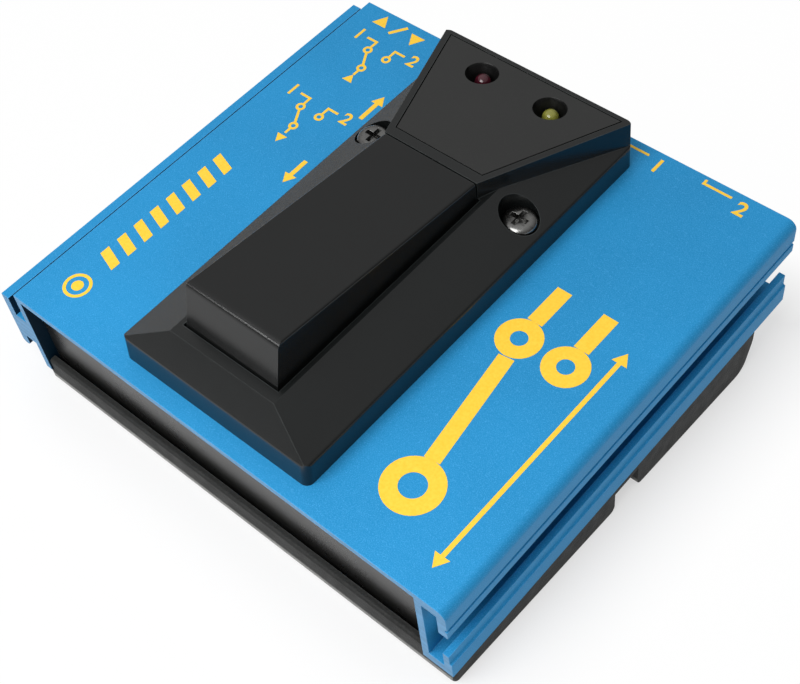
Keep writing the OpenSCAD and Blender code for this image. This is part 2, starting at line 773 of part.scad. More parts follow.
module rear_sole() {
    top = base_top - sole_gap;
    heel = [sole_rear, floor_z(sole_rear)];
    color("darkslategray") sole(concat(
        [[sole_mid_rear, top]],
        round_corner([sole_mid_rear, top], [sole_mid_rear, floor_z(sole_mid_rear)], heel, arch_r),
        round_corner([sole_mid_rear, floor_z(sole_mid_rear)], heel, [rear_panel_y, top], heel_r),
        [[rear_panel_y, top]]));
}

// Upright panel between the side walls, with its front face at y
module panel(y) {
    reach = inner_w - panel_gap;
    block([-reach, y, base_top], [reach, y + panel_t, -plate_t]);
}

module front_panel() {
    color("black") on_body() panel(front_recess);
}

module rear_panel() {
    color("black") on_body() difference() {
        panel(rear_panel_y - panel_t);
        for (x = jack_x) translate([x, rear_panel_y + over, -jack_z]) rotate([90, 0, 0])
            cylinder(r = bush_r + bush_gap, h = panel_t + 2 * over);
    }
}

module base_posts() {
    color("silver") on_body() for (p = post_places) translate([p.x, p.y, base_top]) difference() {
        cylinder(r = post_r, h = wall_h - plate_t);
        translate([0, 0, -over]) cylinder(r = screw_r, h = post_thread + post_spare + over);
    }
}

module base_screws() {
    color("dimgray") on_body() for (p = post_places)
        translate([p.x, p.y, base_foot]) rotate([180, 0, 0])
            pan_screw(head_r, base_head_h, screw_r, base_t + post_thread);
}

// Hip-roofed solid of the housing, without the lamp block
module hip_solid() {
    foot = housing_w / 2;
    ridge = ridge_w / 2;
    rim_front = housing_front + rim_lean;
    edge = round_corner([foot, 0], [foot, rim_h], [ridge, ridge_h], rim_edge_r);
    intersection() {
        along(0, body_l) polygon(concat(
            [[foot, 0]], edge, [[ridge, ridge_h], [-ridge, ridge_h]],
            [for (i = [len(edge) - 1 : -1 : 0]) [-edge[i].x, edge[i].y]], [[-foot, 0]]));
        across(-body_w, body_w) polygon(concat(
            [[housing_front, 0], [body_l - over, 0], [body_l - over, ridge_h],
             [rim_front + slope_run, ridge_h]],
            round_corner([rim_front + slope_run, ridge_h], [rim_front, rim_h], [housing_front, 0],
                         rim_edge_r)));
    }
}

// Upright walls of the housing, with round corners; the front and the rear lean inward
module housing_walls() {
    foot = housing_w / 2;
    intersection() {
        translate([0, housing_front, 0]) rotate([-atan(rim_lean / rim_h), 0, 0])
            translate([0, 0, -2 * over]) linear_extrude(3 * seam_z)
                round_rect([-foot, 0], [foot, 2 * body_l], corner_r);
        translate([0, housing_rear, 0]) rotate([atan(rear_lean / ridge_h), 0, 0])
            translate([0, 0, -2 * over]) linear_extrude(3 * seam_z)
                round_rect([-foot, -2 * body_l], [foot, 0], corner_r);
    }
}

// Solid under the sloping top shared by pedal and lamp block, between y0 and y1
module under_crown(y0, y1, depth = 0) {
    drop = depth / cos(crown);
    across(-body_w, body_w) polygon([
        [y0, -over], [y1, -over], [y1, crown_z(y1) - drop], [y0, crown_z(y0) - drop]]);
}

// Plan of the lamp block, drawn in by margins from its sides, front and rear
module block_plan(margin, front_margin, rear_margin) {
    y0 = block_front + front_margin;
    y1 = housing_rear - rear_margin;
    side = margin * norm([1, block_spread]);
    polygon([[-block_half(y0) + side, y0], [block_half(y0) - side, y0],
             [block_half(y1) - side, y1], [-block_half(y1) + side, y1]]);
}

module lamp_block() {
    intersection() {
        linear_extrude(2 * seam_z) block_plan(0, 0, -over);
        under_crown(block_front, body_l);
    }
}

module housing_cavity() {
    intersection() {
        translate([0, 0, -housing_roof]) hip_solid();
        block([-housing_w / 2 + housing_wall, housing_front + housing_wall, -seam_z],
              [housing_w / 2 - housing_wall, housing_rear - housing_wall, seam_z]);
    }
    intersection() {
        translate([0, 0, -over]) linear_extrude(2 * seam_z)
            block_plan(housing_wall, housing_wall, housing_wall);
        under_crown(block_front, housing_rear, inset_t + inset_seat);
    }
    block([-housing_w / 2 + housing_wall, housing_front + housing_wall, -over],
          [housing_w / 2 - housing_wall, housing_rear - housing_wall, over]);
}

module pedal_housing() {
    color([0.17, 0.18, 0.18]) on_body() difference() {
        union() {
            difference() {
                intersection() {
                    housing_walls();
                    union() {
                        hip_solid();
                        lamp_block();
                    }
                }
                housing_cavity();
                across(-ear_x, ear_x) polygon([
                    [opening_front - (ridge_h + over) * tan(pedal_lean), -over], [block_front, -over],
                    [block_front, 2 * seam_z], [opening_front, 2 * seam_z], [opening_front, ridge_h]]);
            }
            mirrored() intersection() {
                housing_walls();
                hip_solid();
                union() {
                    translate([screw_x, screw_y, 0])
                        cylinder(r = counterbore_r + counterbore_wall, h = ridge_h);
                    block([ear_x, pin_y - ear_l, over], [ear_x + ear_t, pin_y + ear_l, ridge_h]);
                }
            }
        }
        inset_cut();
        mirrored() translate([screw_x, screw_y, 0]) {
            translate([0, 0, counterbore_z]) cylinder(r = counterbore_r, h = seam_z);
            translate([0, 0, -over]) cylinder(r = screw_r + hole_gap, h = seam_z);
        }
        translate([-pin_reach, pin_y, pin_z]) rotate([0, 90, 0])
            cylinder(r = pin_r + press_gap, h = 2 * pin_reach);
    }
}

// Seat and window of the inset plate
module inset_cut() {
    ledge = inset + inset_ledge;
    difference() {
        translate([0, 0, over]) linear_extrude(2 * seam_z) block_plan(inset, inset_front, inset);
        under_crown(0, body_l, inset_t);
    }
    linear_extrude(2 * seam_z) block_plan(ledge, inset_front + inset_ledge, ledge);
    mirrored() translate([led_x, led_y, 0]) cylinder(r = collar_r + inset_gap, h = 2 * seam_z);
}

module indicator_plate() {
    cone_z = crown_z(led_y) - cone_d;
    edge = inset + inset_gap;
    color([0.24, 0.24, 0.24]) on_body() difference() {
        union() {
            intersection() {
                linear_extrude(2 * seam_z) block_plan(edge, inset_front + inset_gap, edge);
                difference() {
                    under_crown(block_front, body_l);
                    under_crown(0, body_l + over, inset_t);
                }
            }
            mirrored() translate([led_x, led_y, cone_z])
                cylinder(r = collar_r, h = cone_d - inset_t / 2);
        }
        mirrored() translate([led_x, led_y, cone_z])
            rotate_extrude() polygon([
                [0, -over], [led_r + led_gap, -over], [led_r + led_gap, 0], [cone_r, cone_d],
                [cone_r + led_gap, cone_d + over], [0, cone_d + over]]);
    }
}

module housing_screws() {
    color("gray") on_body() mirrored() translate([screw_x, screw_y, counterbore_z])
        pan_screw(head_r, head_h, screw_r, counterbore_z + plate_t + plate_nut_t);
}

module housing_nuts() {
    color("silver") on_body() mirrored()
        translate([screw_x, screw_y, -plate_t - plate_nut_t]) difference() {
            cylinder(r = plate_nut_r, h = plate_nut_t, $fn = 6);
            translate([0, 0, -over]) cylinder(r = screw_r, h = plate_nut_t + 2 * over);
        }
}

// Lamp with its flange, dome and legs, standing on the lamp board
module lamp() {
    foot = crown_z(led_y) - cone_d + led_rise - led_h;
    flange_r = led_r + led_flange;
    translate([0, 0, foot]) rotate_extrude() polygon(concat(
        [[0, 0], [flange_r, 0], [flange_r, led_flange_t], [led_r, led_flange_t]],
        [for (a = [0 : 15 : 90]) [led_r * cos(a), led_h - led_r + led_r * sin(a)]]));
    for (x = [-leg_x, leg_x])
        block([x - leg_w / 2, -leg_w / 2, led_board_t], [x + leg_w / 2, leg_w / 2, foot]);
}

module led_red() {
    color("darkred") on_body() translate([-led_x, led_y, 0]) lamp();
}

module led_green() {
    color("yellowgreen") on_body() translate([led_x, led_y, 0]) lamp();
}

module led_board() {
    reach = led_x + led_board_edge;
    color("darkgreen") on_body() block([-reach, led_y - led_board_edge, 0],
                                       [reach, led_y + led_board_edge - over, led_board_t]);
}

// Flat cable from the lamp board through the plate to the circuit board
module led_ribbon() {
    end_y = board_rear - lead_inset;
    bend_z = board_top + header_h - over;
    lie_z = led_board_t / 2;
    color("lightgray") on_body() across(ribbon_x, ribbon_x + ribbon_w) polygon(strip([
        [led_y - led_board_edge, lie_z], [slot_y + slot_l / 2, lie_z], [slot_y + slot_l / 3, -plate_t],
        [end_y + 1, bend_z + 2], [end_y, bend_z], [end_y, board_top]], ribbon_t));
}

// Outer form of the pedal, lowered by a depth
module pedal_solid(depth) {
    low = pedal_foot - over;
    top_half = (pedal_w - pedal_draft * 2 / 3) / 2;
    low_half = top_half + pedal_draft;
    front_foot = pedal_front - (crown_z(pedal_front) - low) * tan(pedal_lean);
    top_front = [pedal_front, crown_z(pedal_front)];
    top_rear = [pedal_rear, crown_z(pedal_rear)];
    translate([0, 0, -depth]) intersection() {
        across(-pedal_w, pedal_w) polygon(concat(
            [[front_foot, low], [pedal_rear, low], top_rear],
            round_corner(top_rear, top_front, [front_foot, low], pedal_nose_r)));
        translate([0, seam_y, seam_z]) rotate([-crown, 0, 0]) along(-body_l, body_l)
            polygon(concat(
                [[-low_half, -2 * seam_z], [low_half, -2 * seam_z]],
                round_corner([low_half, -2 * seam_z], [top_half, 0], [0, 0], pedal_edge_r),
                round_corner([0, 0], [-top_half, 0], [-low_half, -2 * seam_z], pedal_edge_r)));
    }
}

module pedal() {
    inner_x = pedal_w / 2 - pedal_t;
    rib_foot = plunger_top + press_room;
    wall_y = opening_front + pedal_gap + pedal_t;
    shell_low = [-inner_x, wall_y, 0];
    shell_high = [inner_x, pedal_rear - pedal_t, 2 * seam_z];
    color([0.19, 0.2, 0.2]) on_body() difference() {
        union() {
            difference() {
                intersection() {
                    pedal_solid(0);
                    block([-pedal_w, 0, pedal_foot], [pedal_w, body_l, 2 * seam_z]);
                }
                intersection() {
                    pedal_solid(pedal_t / cos(crown));
                    block(shell_low, shell_high);
                }
                block(shell_low, [shell_high.x, shell_high.y, pedal_foot + over]);
            }
            block([-catch_w / 2, opening_front - catch_l, pedal_foot],
                  [catch_w / 2, wall_y, ridge_h - housing_roof - press_room]);
            mirrored() translate([inner_x, pin_y, pin_z]) rotate([0, 90, 0])
                cylinder(r = boss_r, h = pedal_t);
            intersection() {
                pedal_solid(pedal_t / 2);
                union() {
                    block([-inner_x - pedal_gap, switch_y - rib_w / 2, rib_foot],
                          [inner_x + pedal_gap, switch_y + rib_w / 2, 2 * seam_z]);
                    block([-rib_w / 2, switch_y - 3 * rib_w, rib_foot + rib_w],
                          [rib_w / 2, switch_y + 3 * rib_w, 2 * seam_z]);
                    translate([0, spring_y, spring_top - spring_peg]) cylinder(r = peg_r, h = seam_z);
                }
            }
        }
        translate([-pedal_w, pin_y, pin_z]) rotate([0, 90, 0])
            cylinder(r = pin_r + run_gap, h = 2 * pedal_w);
    }
}

module hinge_pin() {
    color("silver") on_body() translate([-pin_reach, pin_y, pin_z]) rotate([0, 90, 0])
        cylinder(r = pin_r, h = 2 * pin_reach);
}

// Centre line of the return spring, with flat-laid end turns
function spring_point(turn) =
    let (low = cup_t + wire_r, high = spring_top - wire_r - end_gap, left = spring_turns - turn,
         rise = (turn < 1) ? end_rise * turn : (left < 1) ? 1 - end_rise * left
              : end_rise + (1 - 2 * end_rise) * (turn - 1) / (spring_turns - 2))
    [spring_r * cos(360 * turn), spring_r * sin(360 * turn), low + (high - low) * rise];

spring_steps = 12;
spring_line = [for (i = [0 : spring_turns * spring_steps]) spring_point(i / spring_steps)];
// Least gap between neighbouring turns, measured on the centre line's points
spring_gap = min([for (i = [0 : (spring_turns - 1) * spring_steps])
    norm(spring_line[i + spring_steps] - spring_line[i])]) - 2 * wire_r;
echo(spring_least_gap_mm = spring_gap);

module return_spring() {
    color("lightgray") on_body() translate([0, spring_y, 0]) tube(spring_line, wire_r, 6);
}

module spring_cup() {
    seat_r = spring_r + wire_r + spring_play;
    color("black") on_body() translate([0, spring_y, 0]) {
        difference() {
            cylinder(r = seat_r + cup_t, h = 2 * cup_t);
            translate([0, 0, cup_t]) cylinder(r = seat_r, h = 2 * cup_t);
        }
        cylinder(r = peg_r, h = cup_t + spring_peg);
    }
}

module pedal_bumper() {
    color("black") on_body() linear_extrude(bumper_t)
        round_rect([-catch_w / 2, opening_front], [catch_w / 2, opening_front + bumper_l], bumper_r);
}

module switch_body() {
    color("black") on_body() difference() {
        union() {
            translate([0, switch_y, board_top]) linear_extrude(switch_h)
                round_rect([-switch_w / 2, -switch_w / 2], [switch_w / 2, switch_w / 2], switch_r);
            translate([0, switch_y, switch_top])
                cylinder(r = plunger_r + switch_collar, h = switch_neck);
        }
        translate([0, switch_y, switch_top - plunger_in - plunger_room])
            cylinder(r = plunger_r + run_gap, h = plunger_in + plunger_room + switch_neck + over);
    }
}

module switch_plunger() {
    foot = switch_top - plunger_in;
    round_z = plunger_top - cap_rim;
    color("ivory") on_body() translate([0, switch_y, 0]) rotate_extrude() polygon(concat(
        [[0, foot], [plunger_r, foot], [plunger_r, round_z - over],
         [plunger_r + cap_rim, round_z - over / 3]],
        [for (a = [0 : 15 : 90]) [plunger_r + cap_rim * cos(a), round_z + cap_rim * sin(a)]],
        [[0, plunger_top]]));
}

module circuit_board() {
    color("darkgreen") on_body() difference() {
        block([board_left, board_front, board_top - board_t], [board_right, board_rear, board_top]);
        for (p = standoff_places)
            translate([p.x, p.y, board_top - board_t - over])
                cylinder(r = board_screw_r + hole_gap, h = board_t + 2 * over);
    }
}

// Small parts standing on the circuit board
module board_parts() {
    row_x = board_right - 2 * hole_inset - resistor_r;
    color("tan") on_body() translate([0, 0, board_top]) {
        for (i = [0 : 3]) translate([row_x - i * resistor_pitch, board_front + lead_inset, resistor_r])
            rotate([-90, 0, 0]) cylinder(r = resistor_r, h = resistor_l);
        translate([board_left + 2 * hole_inset + capacitor_r, board_front + hole_inset + capacitor_r, 0])
            cylinder(r = capacitor_r, h = capacitor_h);
        translate([-switch_w / 2 - header_gap, board_rear - hole_inset, 0])
            block([-header_w, -header_t, 0], [0, 0, header_h]);
    }
}

module board_screws() {
    color("silver") on_body() for (p = standoff_places)
        translate([p.x, p.y, board_top])
            pan_screw(board_head_r, board_head_h, board_screw_r, board_t + standoff_h / 2);
}

// Quarter-inch jack with its axis along y and its flange on the rear panel
module jack(x) {
    face = rear_panel_y - panel_t;
    mouth = rear_panel_y + bush_l;
    color("black") on_body() translate([x, 0, -jack_z]) difference() {
        union() {
            along(face - jack_l, face)
                round_rect([-jack_w / 2, -jack_w / 2], [jack_w / 2, jack_w / 2], jack_r);
            translate([0, mouth, 0]) rotate([90, 0, 0]) cylinder(r = bush_r, h = mouth - face + over);
        }
        translate([0, mouth + over, 0]) rotate([90, 0, 0])
            cylinder(r = jack_bore_r, h = mouth - face + jack_l + 2 * over);
    }
}

module jack_in_out() {
    jack(jack_x[0]);
}

module jack_a() {
    jack(jack_x[1]);
}

module jack_b() {
    jack(jack_x[2]);
}

module jack_washers() {
    color("silver") on_body() for (x = jack_x)
        translate([x, rear_panel_y + washer_t, -jack_z]) rotate([90, 0, 0]) difference() {
            cylinder(r = nut_w / 2 + washer_edge, h = washer_t);
            translate([0, 0, -over]) cylinder(r = bush_r + bush_gap, h = washer_t + 2 * over);
        }
}

module jack_nuts() {
    color("silver") on_body() for (x = jack_x)
        translate([x, rear_panel_y + washer_t + nut_t, -jack_z]) rotate([90, 0, 0]) difference() {
            cylinder(d = nut_w / cos(30), h = nut_t, $fn = 6);
            translate([0, 0, -over]) cylinder(r = bush_r + run_gap, h = nut_t + 2 * over);
        }
}

// Solder lugs on the inner ends of the jacks
module jack_lugs() {
    face = rear_panel_y - panel_t - jack_l;
    color("goldenrod") on_body() for (x = jack_x) for (side = [-1, 1])
        translate([x + side * lug_x, face - lug_l, -jack_z - lug_drop])
            block([-lug_w / 2, 0, 0], [lug_w / 2, lug_l, lug_t]);
}

// Wires from the jacks' lugs to the circuit board
module jack_leads() {
    from_y = rear_panel_y - panel_t - jack_l - lug_l;
    from_z = -jack_z - lug_drop + lug_t / 2;
    board_places = [board_left + 2 * hole_inset, jack_a_x, board_right - 2 * hole_inset];
    sides = [1, -1, -1];
    to_y = board_rear - lead_inset;
    color("gray") on_body() for (i = [0 : 2])
        let (x = jack_x[i] + sides[i] * lug_x, to_x = board_places[i])
        wire([[x, from_y, from_z], [x, from_y - 1.5, from_z], [(x + to_x) / 2, from_y - 4, from_z + 3],
              [to_x, to_y, board_top + 2.5], [to_x, to_y, board_top]], lead_r);
}

// One terminal is a stud and the other a wider socket
function terminal_radius(side) = terminal_r * (side > 0 ? 1 : 1.25);

module battery() {
    color("silver") on_body() translate([battery_x, battery_y, battery_z]) {
        across(0, battery_l) round_rect([0, 0], [battery_w, battery_t], battery_r);
        for (side = [-1, 1]) translate([battery_l, battery_w / 2 + side * terminal_y, battery_t / 2])
            rotate([0, 90, 0]) cylinder(r = terminal_radius(side), h = terminal_l);
    }
}

module battery_snap() {
    color("black") on_body() translate([snap_x, battery_y, battery_z]) difference() {
        across(0, snap_l) round_rect([battery_r, (battery_t - snap_w) / 2],
                                     [battery_w - battery_r, (battery_t + snap_w) / 2], battery_r);
        for (side = [-1, 1]) translate([-over, battery_w / 2 + side * terminal_y, battery_t / 2])
            rotate([0, 90, 0]) cylinder(r = terminal_radius(side) + hole_gap, h = terminal_l + over);
    }
}

// Two wires from the snap to the circuit board
module battery_leads() {
    face = snap_x + snap_l;
    mid_z = battery_z + battery_t / 2;
    color("firebrick") on_body() for (i = [0, 1])
        let (y = battery_y + battery_w / 2 + 2 - 4 * i, to = [13 + 5 * i, board_front + 2])
        wire([[face, y, mid_z], [face + 1.5, y, mid_z], [face + 4 + 4 * i, y + 7, mid_z - 1],
              [to.x, to.y, board_top + 2.5], [to.x, to.y, board_top]], battery_lead_r);
}

module battery_hatch() {
    half_t = hatch_t / 2;
    pin_l = hatch_gap + collar_t / 2 - hatch_pin_gap;
    color("dimgray") {
        difference() {
            translate([0, 0, hatch_z]) across(hatch_x0, hatch_x1) polygon(concat(
                [[hatch_y0, -half_t]],
                [for (a = [-90 : 15 : 90]) [hatch_axis_y + half_t * cos(a), half_t * sin(a)]],
                [[hatch_y0, half_t]]));
            translate([(hatch_x0 + hatch_x1) / 2, hatch_y0 + finger_w, hatch_lift - over])
                linear_extrude(finger_d + over) round_rect(
                    [-finger_l / 2, -finger_w / 2], [finger_l / 2, finger_w / 2], finger_w / 2.1);
            for (i = [0 : 4]) translate([0, hatch_y0 + grip_y + i * grip_pitch, hatch_lift])
                block([hatch_x0 + grip_inset, 0, -over], [hatch_x1 - grip_inset, grip_w, grip_w / 2]);
        }
        for (x = [hatch_x0 - pin_l, hatch_x1 - over])
            translate([x, hatch_axis_y, hatch_z]) rotate([0, 90, 0])
                cylinder(r = hatch_pin_r, h = pin_l + over);
    }
}

// Foam wedge on the hatch, which holds the battery up
module battery_pad() {
    low = hatch_lift + hatch_t;
    y0 = battery_y + pad_inset / 3;
    y1 = battery_y + battery_w - pad_inset;
    lift = battery_z - snap_gap;
    color("gray") across(battery_x + pad_inset, battery_x + battery_l - pad_inset) polygon([
        [row_y(y0, lift), low], [row_y(y1, lift), low],
        [row_y(y1, lift), row_z(y1, lift)], [row_y(y0, lift), row_z(y0, lift)]]);
}

body_shell();
base_plate();
front_sole();
rear_sole();
front_panel();
rear_panel();
base_posts();
base_screws();
pedal_housing();
indicator_plate();
housing_screws();
housing_nuts();
led_red();
led_green();
led_board();
led_ribbon();
pedal();
hinge_pin();
return_spring();
spring_cup();
pedal_bumper();
switch_body();
switch_plunger();
circuit_board();
board_parts();
board_screws();
jack_in_out();
jack_a();
jack_b();
jack_nuts();
jack_washers();
jack_lugs();
jack_leads();
battery();
battery_snap();
battery_leads();
battery_hatch();
battery_pad();
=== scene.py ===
import json
import math

import bmesh
import bpy
from mathutils import Matrix, Vector, noise


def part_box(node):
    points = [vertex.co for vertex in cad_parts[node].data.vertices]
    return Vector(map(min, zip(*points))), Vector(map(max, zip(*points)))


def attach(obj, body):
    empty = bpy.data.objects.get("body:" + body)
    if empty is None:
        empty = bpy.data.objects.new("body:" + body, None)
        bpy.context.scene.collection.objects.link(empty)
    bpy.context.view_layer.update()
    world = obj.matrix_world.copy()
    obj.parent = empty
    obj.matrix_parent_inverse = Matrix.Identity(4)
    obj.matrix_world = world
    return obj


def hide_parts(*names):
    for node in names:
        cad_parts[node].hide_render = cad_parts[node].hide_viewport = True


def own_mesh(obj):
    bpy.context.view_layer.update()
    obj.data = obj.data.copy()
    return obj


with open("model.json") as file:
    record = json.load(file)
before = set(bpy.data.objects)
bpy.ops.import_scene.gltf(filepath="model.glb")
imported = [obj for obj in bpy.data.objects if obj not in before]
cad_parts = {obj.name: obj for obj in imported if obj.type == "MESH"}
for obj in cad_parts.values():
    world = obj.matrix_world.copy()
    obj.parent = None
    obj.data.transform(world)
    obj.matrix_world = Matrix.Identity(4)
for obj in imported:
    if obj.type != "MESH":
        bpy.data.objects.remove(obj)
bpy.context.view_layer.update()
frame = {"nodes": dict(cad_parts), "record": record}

# Case frame, in millimetres: x across, y back from the plate's front end, z up from its top face
MM = 0.001
PLATE_LENGTH = 91
shell_low, shell_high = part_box("body_shell")
jack_way = Vector(frame["record"]["mounts"][0]["axis"])
lean = math.atan2(jack_way.z, jack_way.y)
plate_front = Vector((0, shell_low.y, shell_high.z - PLATE_LENGTH * MM * math.sin(lean)))
case_matrix = Matrix.Translation(plate_front) @ Matrix.Rotation(lean, 4, "X") @ Matrix.Scale(MM, 4)
case_turn = Matrix.Rotation(lean, 3, "X")


def case(x, y, z):
    """Place of a point of the case frame, in metres"""
    return case_matrix @ Vector((x, y, z))


# Camera at the photograph's angle, in the case frame
EYE = (116.9, -61.4, 185.49)
FORWARD = Vector((-0.44542, 0.40415, -0.79891))
RIGHT = Vector((0.75158, 0.6537, -0.08835))
LENS = 65.27
SENSOR = 36


def add_camera():
    data = bpy.data.cameras.new("camera")
    data.lens = LENS
    data.sensor_width = SENSOR
    data.sensor_fit = "HORIZONTAL"
    data.clip_start = 0.01
    forward = (case_turn @ FORWARD).normalized()
    right = (case_turn @ RIGHT).normalized()
    up = right.cross(forward)
    turn = Matrix((right, up, -forward)).transposed().to_4x4()
    camera = bpy.data.objects.new("camera", data)
    camera.matrix_world = Matrix.Translation(case(*EYE)) @ turn
    bpy.context.scene.collection.objects.link(camera)
    bpy.context.scene.camera = camera


class Finish:
    """Procedural material: one Principled shader, and helpers for the nodes that feed it"""

    def __init__(self, name, **sockets):
        self.material = bpy.data.materials.new(name)
        self.material.use_nodes = True
        self.tree = self.material.node_tree
        self.shader = self.tree.nodes["Principled BSDF"]
        for label, value in sockets.items():
            self.shader.inputs[label.replace("_", " ")].default_value = value
        self.place = self.node("TexCoord").outputs["Object"]

    def node(self, kind, inputs=None, **settings):
        made = self.tree.nodes.new("ShaderNode" + kind)
        for key, value in settings.items():
            setattr(made, key, value)
        for key, value in (inputs or {}).items():
            if isinstance(value, bpy.types.NodeSocket):
                self.tree.links.new(value, made.inputs[key])
            else:
                made.inputs[key].default_value = value
        return made

    def feed(self, label, socket):
        self.tree.links.new(socket, self.shader.inputs[label])

    def stretched(self, scale, turn=(0, 0, 0)):
        mapping = {"Vector": self.place, "Scale": scale, "Rotation": turn}
        return self.node("Mapping", mapping).outputs["Vector"]

    def noise(self, scale, detail=3, place=None):
        inputs = {"Vector": place or self.place, "Scale": scale, "Detail": detail}
        return self.node("TexNoise", inputs).outputs[0]

    def cells(self, scale, feature="F1"):
        inputs = {"Vector": self.place, "Scale": scale}
        return self.node("TexVoronoi", inputs, feature=feature).outputs["Distance"]

    def spread(self, value, low, high, start=0.3, end=0.7):
        """Maps a range of a value, as a rule the one that a noise fills, to low and high"""
        inputs = {"Value": value, "From Min": start, "From Max": end, "To Min": low, "To Max": high}
        return self.node("MapRange", inputs).outputs["Result"]

    def combine(self, a, b, operation="ADD"):
        return self.node("Math", {0: a, 1: b}, operation=operation).outputs[0]

    def blend(self, share, a, b):
        made = self.node("Mix", {0: share, 6: a, 7: b}, data_type="RGBA")
        return made.outputs[2]

    def facing(self, direction):
        """1 where a face looks along a direction, either way, and 0 elsewhere"""
        normal = self.node("NewGeometry").outputs["True Normal"]
        along = self.node("VectorMath", {0: normal, 1: direction}, operation="DOT_PRODUCT")
        either = self.node("Math", {0: along.outputs["Value"]}, operation="ABSOLUTE").outputs[0]
        return self.spread(either, 0, 1, 0.8, 0.95)

    def inward(self):
        """1 on upright faces that look towards the middle of the case from either side"""
        normal = self.node("NewGeometry").outputs["True Normal"]
        way = self.node("SeparateXYZ", {0: normal}).outputs["X"]
        across = self.node("SeparateXYZ", {0: self.place}).outputs["X"]
        side = self.node("Math", {0: across}, operation="SIGN").outputs[0]
        return self.spread(self.combine(way, side, "MULTIPLY"), 1, 0, -0.95, -0.8)

    def edges(self, radius, most):
        """Rises from 0 to most along the outer and inner edges of a piece"""
        round_normal = self.node("Bevel", {"Radius": radius}, samples=6).outputs["Normal"]
        plain_normal = self.node("NewGeometry").outputs["Normal"]
        agree = self.node("VectorMath", {0: round_normal, 1: plain_normal}, operation="DOT_PRODUCT")
        return self.spread(agree.outputs["Value"], most, 0, 0.8, 0.995)

    def bump(self, height, depth, under=None):
        inputs = {"Height": height, "Distance": depth}
        if under:
            inputs["Normal"] = under
        return self.node("Bump", inputs).outputs["Normal"]


def shade(colour, factor):
    return tuple(min(1.0, c * factor) for c in colour) + (1.0,)


def moulded(name, colour, rough, grain, depth, rub=0.25, lift=3.2, wells=1.0, **sockets):
    """Moulded plastic: fine grain, uneven sheen, and edges of another tone: wear, painted highlight,
    painted shade

    grain and depth are the scale and height of the bump, and rub is how much the edges take of their own
    tone. lift is that tone, as a factor of the colour: paler edges are rubbed wear, and with a lift as
    high as the blacks' also painted highlight lines; darker edges are painted shade in grooves and rims.
    wells is the painted shade of the faces that don't look up, as a factor of the colour.
    """
    f = Finish(name, **sockets)
    cloud = f.noise(70, 4)
    smear = f.noise(260, 5)
    fine = f.noise(grain, 2)
    tone = f.blend(f.spread(cloud, 0, 1), shade(colour, 0.94), shade(colour, 1.06))
    specked = f.blend(f.spread(f.noise(grain / 2, 1), 0, 0.5, 0.62, 0.8), tone, shade(colour, 1.7))
    # Edge tone: rubbed wear, with painted highlight lines on the blacks and painted shade on the inset
    edge_toned = f.combine(f.edges(2.5e-4, rub), f.spread(smear, 0.3, 1), "MULTIPLY")
    base = f.blend(edge_toned, specked, shade(colour, lift))
    # Painted shade on the faces that don't look up, such as the walls of the lamp wells
    if wells < 1:
        upward = f.facing(case_turn @ Vector((0, 0, 1)))
        base = f.blend(upward, shade(colour, wells), base)
    f.feed("Base Color", base)
    f.feed("Roughness", f.spread(f.combine(cloud, smear), rough - 0.02, rough + 0.02, 0.75, 1.25))
    f.feed("Normal", f.bump(fine, depth))
    return f.material


def metal(name, colour, rough, grain=3000, stretch=(1, 1, 1), spots=0.0):
    """Bare or plated metal: drawn or turned grain, slight stain and bright edges"""
    f = Finish(name, Metallic=1.0)
    cloud = f.noise(160, 4)
    lines = f.noise(grain, 3, f.stretched(stretch))
    tone = f.blend(f.spread(cloud, 0, 1), shade(colour, 0.8), shade(colour, 1.1))
    stained = f.blend(f.spread(f.noise(1400, 2), 0, spots, 0.55, 0.75), tone, shade(colour, 0.35))
    f.feed("Base Color", f.blend(f.edges(2e-4, 0.5), stained, shade(colour, 1.4)))
    f.feed("Roughness", f.spread(f.combine(cloud, lines), rough - 0.08, rough + 0.08, 0.75, 1.25))
    f.feed("Normal", f.bump(lines, 6e-6))
    return f.material


def anodised(name):
    """Blue anodised extrusion: fine blasted grain, faint die lines, sawn ends and painted shade on the
    inner walls
    """
    blue = (0.016, 0.25, 0.53)
    sawn = (0.11, 0.28, 0.48)
    glint = (0.1, 0.46, 0.86, 1)
    rubbed = (0.2, 0.5, 0.85, 1)
    f = Finish(name, Metallic=0.2, Specular_IOR_Level=0.2)
    cloud = f.noise(45, 3)
    grain = f.noise(7000, 2)
    die_lines = f.noise(2600, 2, f.stretched((1, 0.012, 1), (-lean, 0, 0)))
    tone = f.blend(f.spread(cloud, 0, 1), shade(blue, 0.95), shade(blue, 1.06))
    sparkle = f.blend(f.spread(grain, 0, 0.6, 0.48, 0.78), tone, glint)
    ends = f.facing(case_turn @ Vector((0, 1, 0)))
    saw_lines = f.noise(1500, 2, f.stretched((0.06, 1, 1)))
    sawn_tone = f.blend(f.spread(saw_lines, 0, 1), shade(sawn, 0.85), shade(sawn, 1.15))
    edge_toned = f.blend(f.edges(2.5e-4, 0.5), sparkle, rubbed)
    # Painted shade: faces that look inward between the walls are darkened to 6% of the blue
    painted_inner_shade = f.blend(f.inward(), edge_toned, shade(blue, 0.06))
    f.feed("Base Color", f.blend(ends, painted_inner_shade, sawn_tone))
    f.feed("Roughness", f.spread(f.combine(cloud, grain), 0.5, 0.58, 0.75, 1.25))
    f.feed("Normal", f.bump(die_lines, 4e-6, f.bump(grain, 2e-5)))
    return f.material


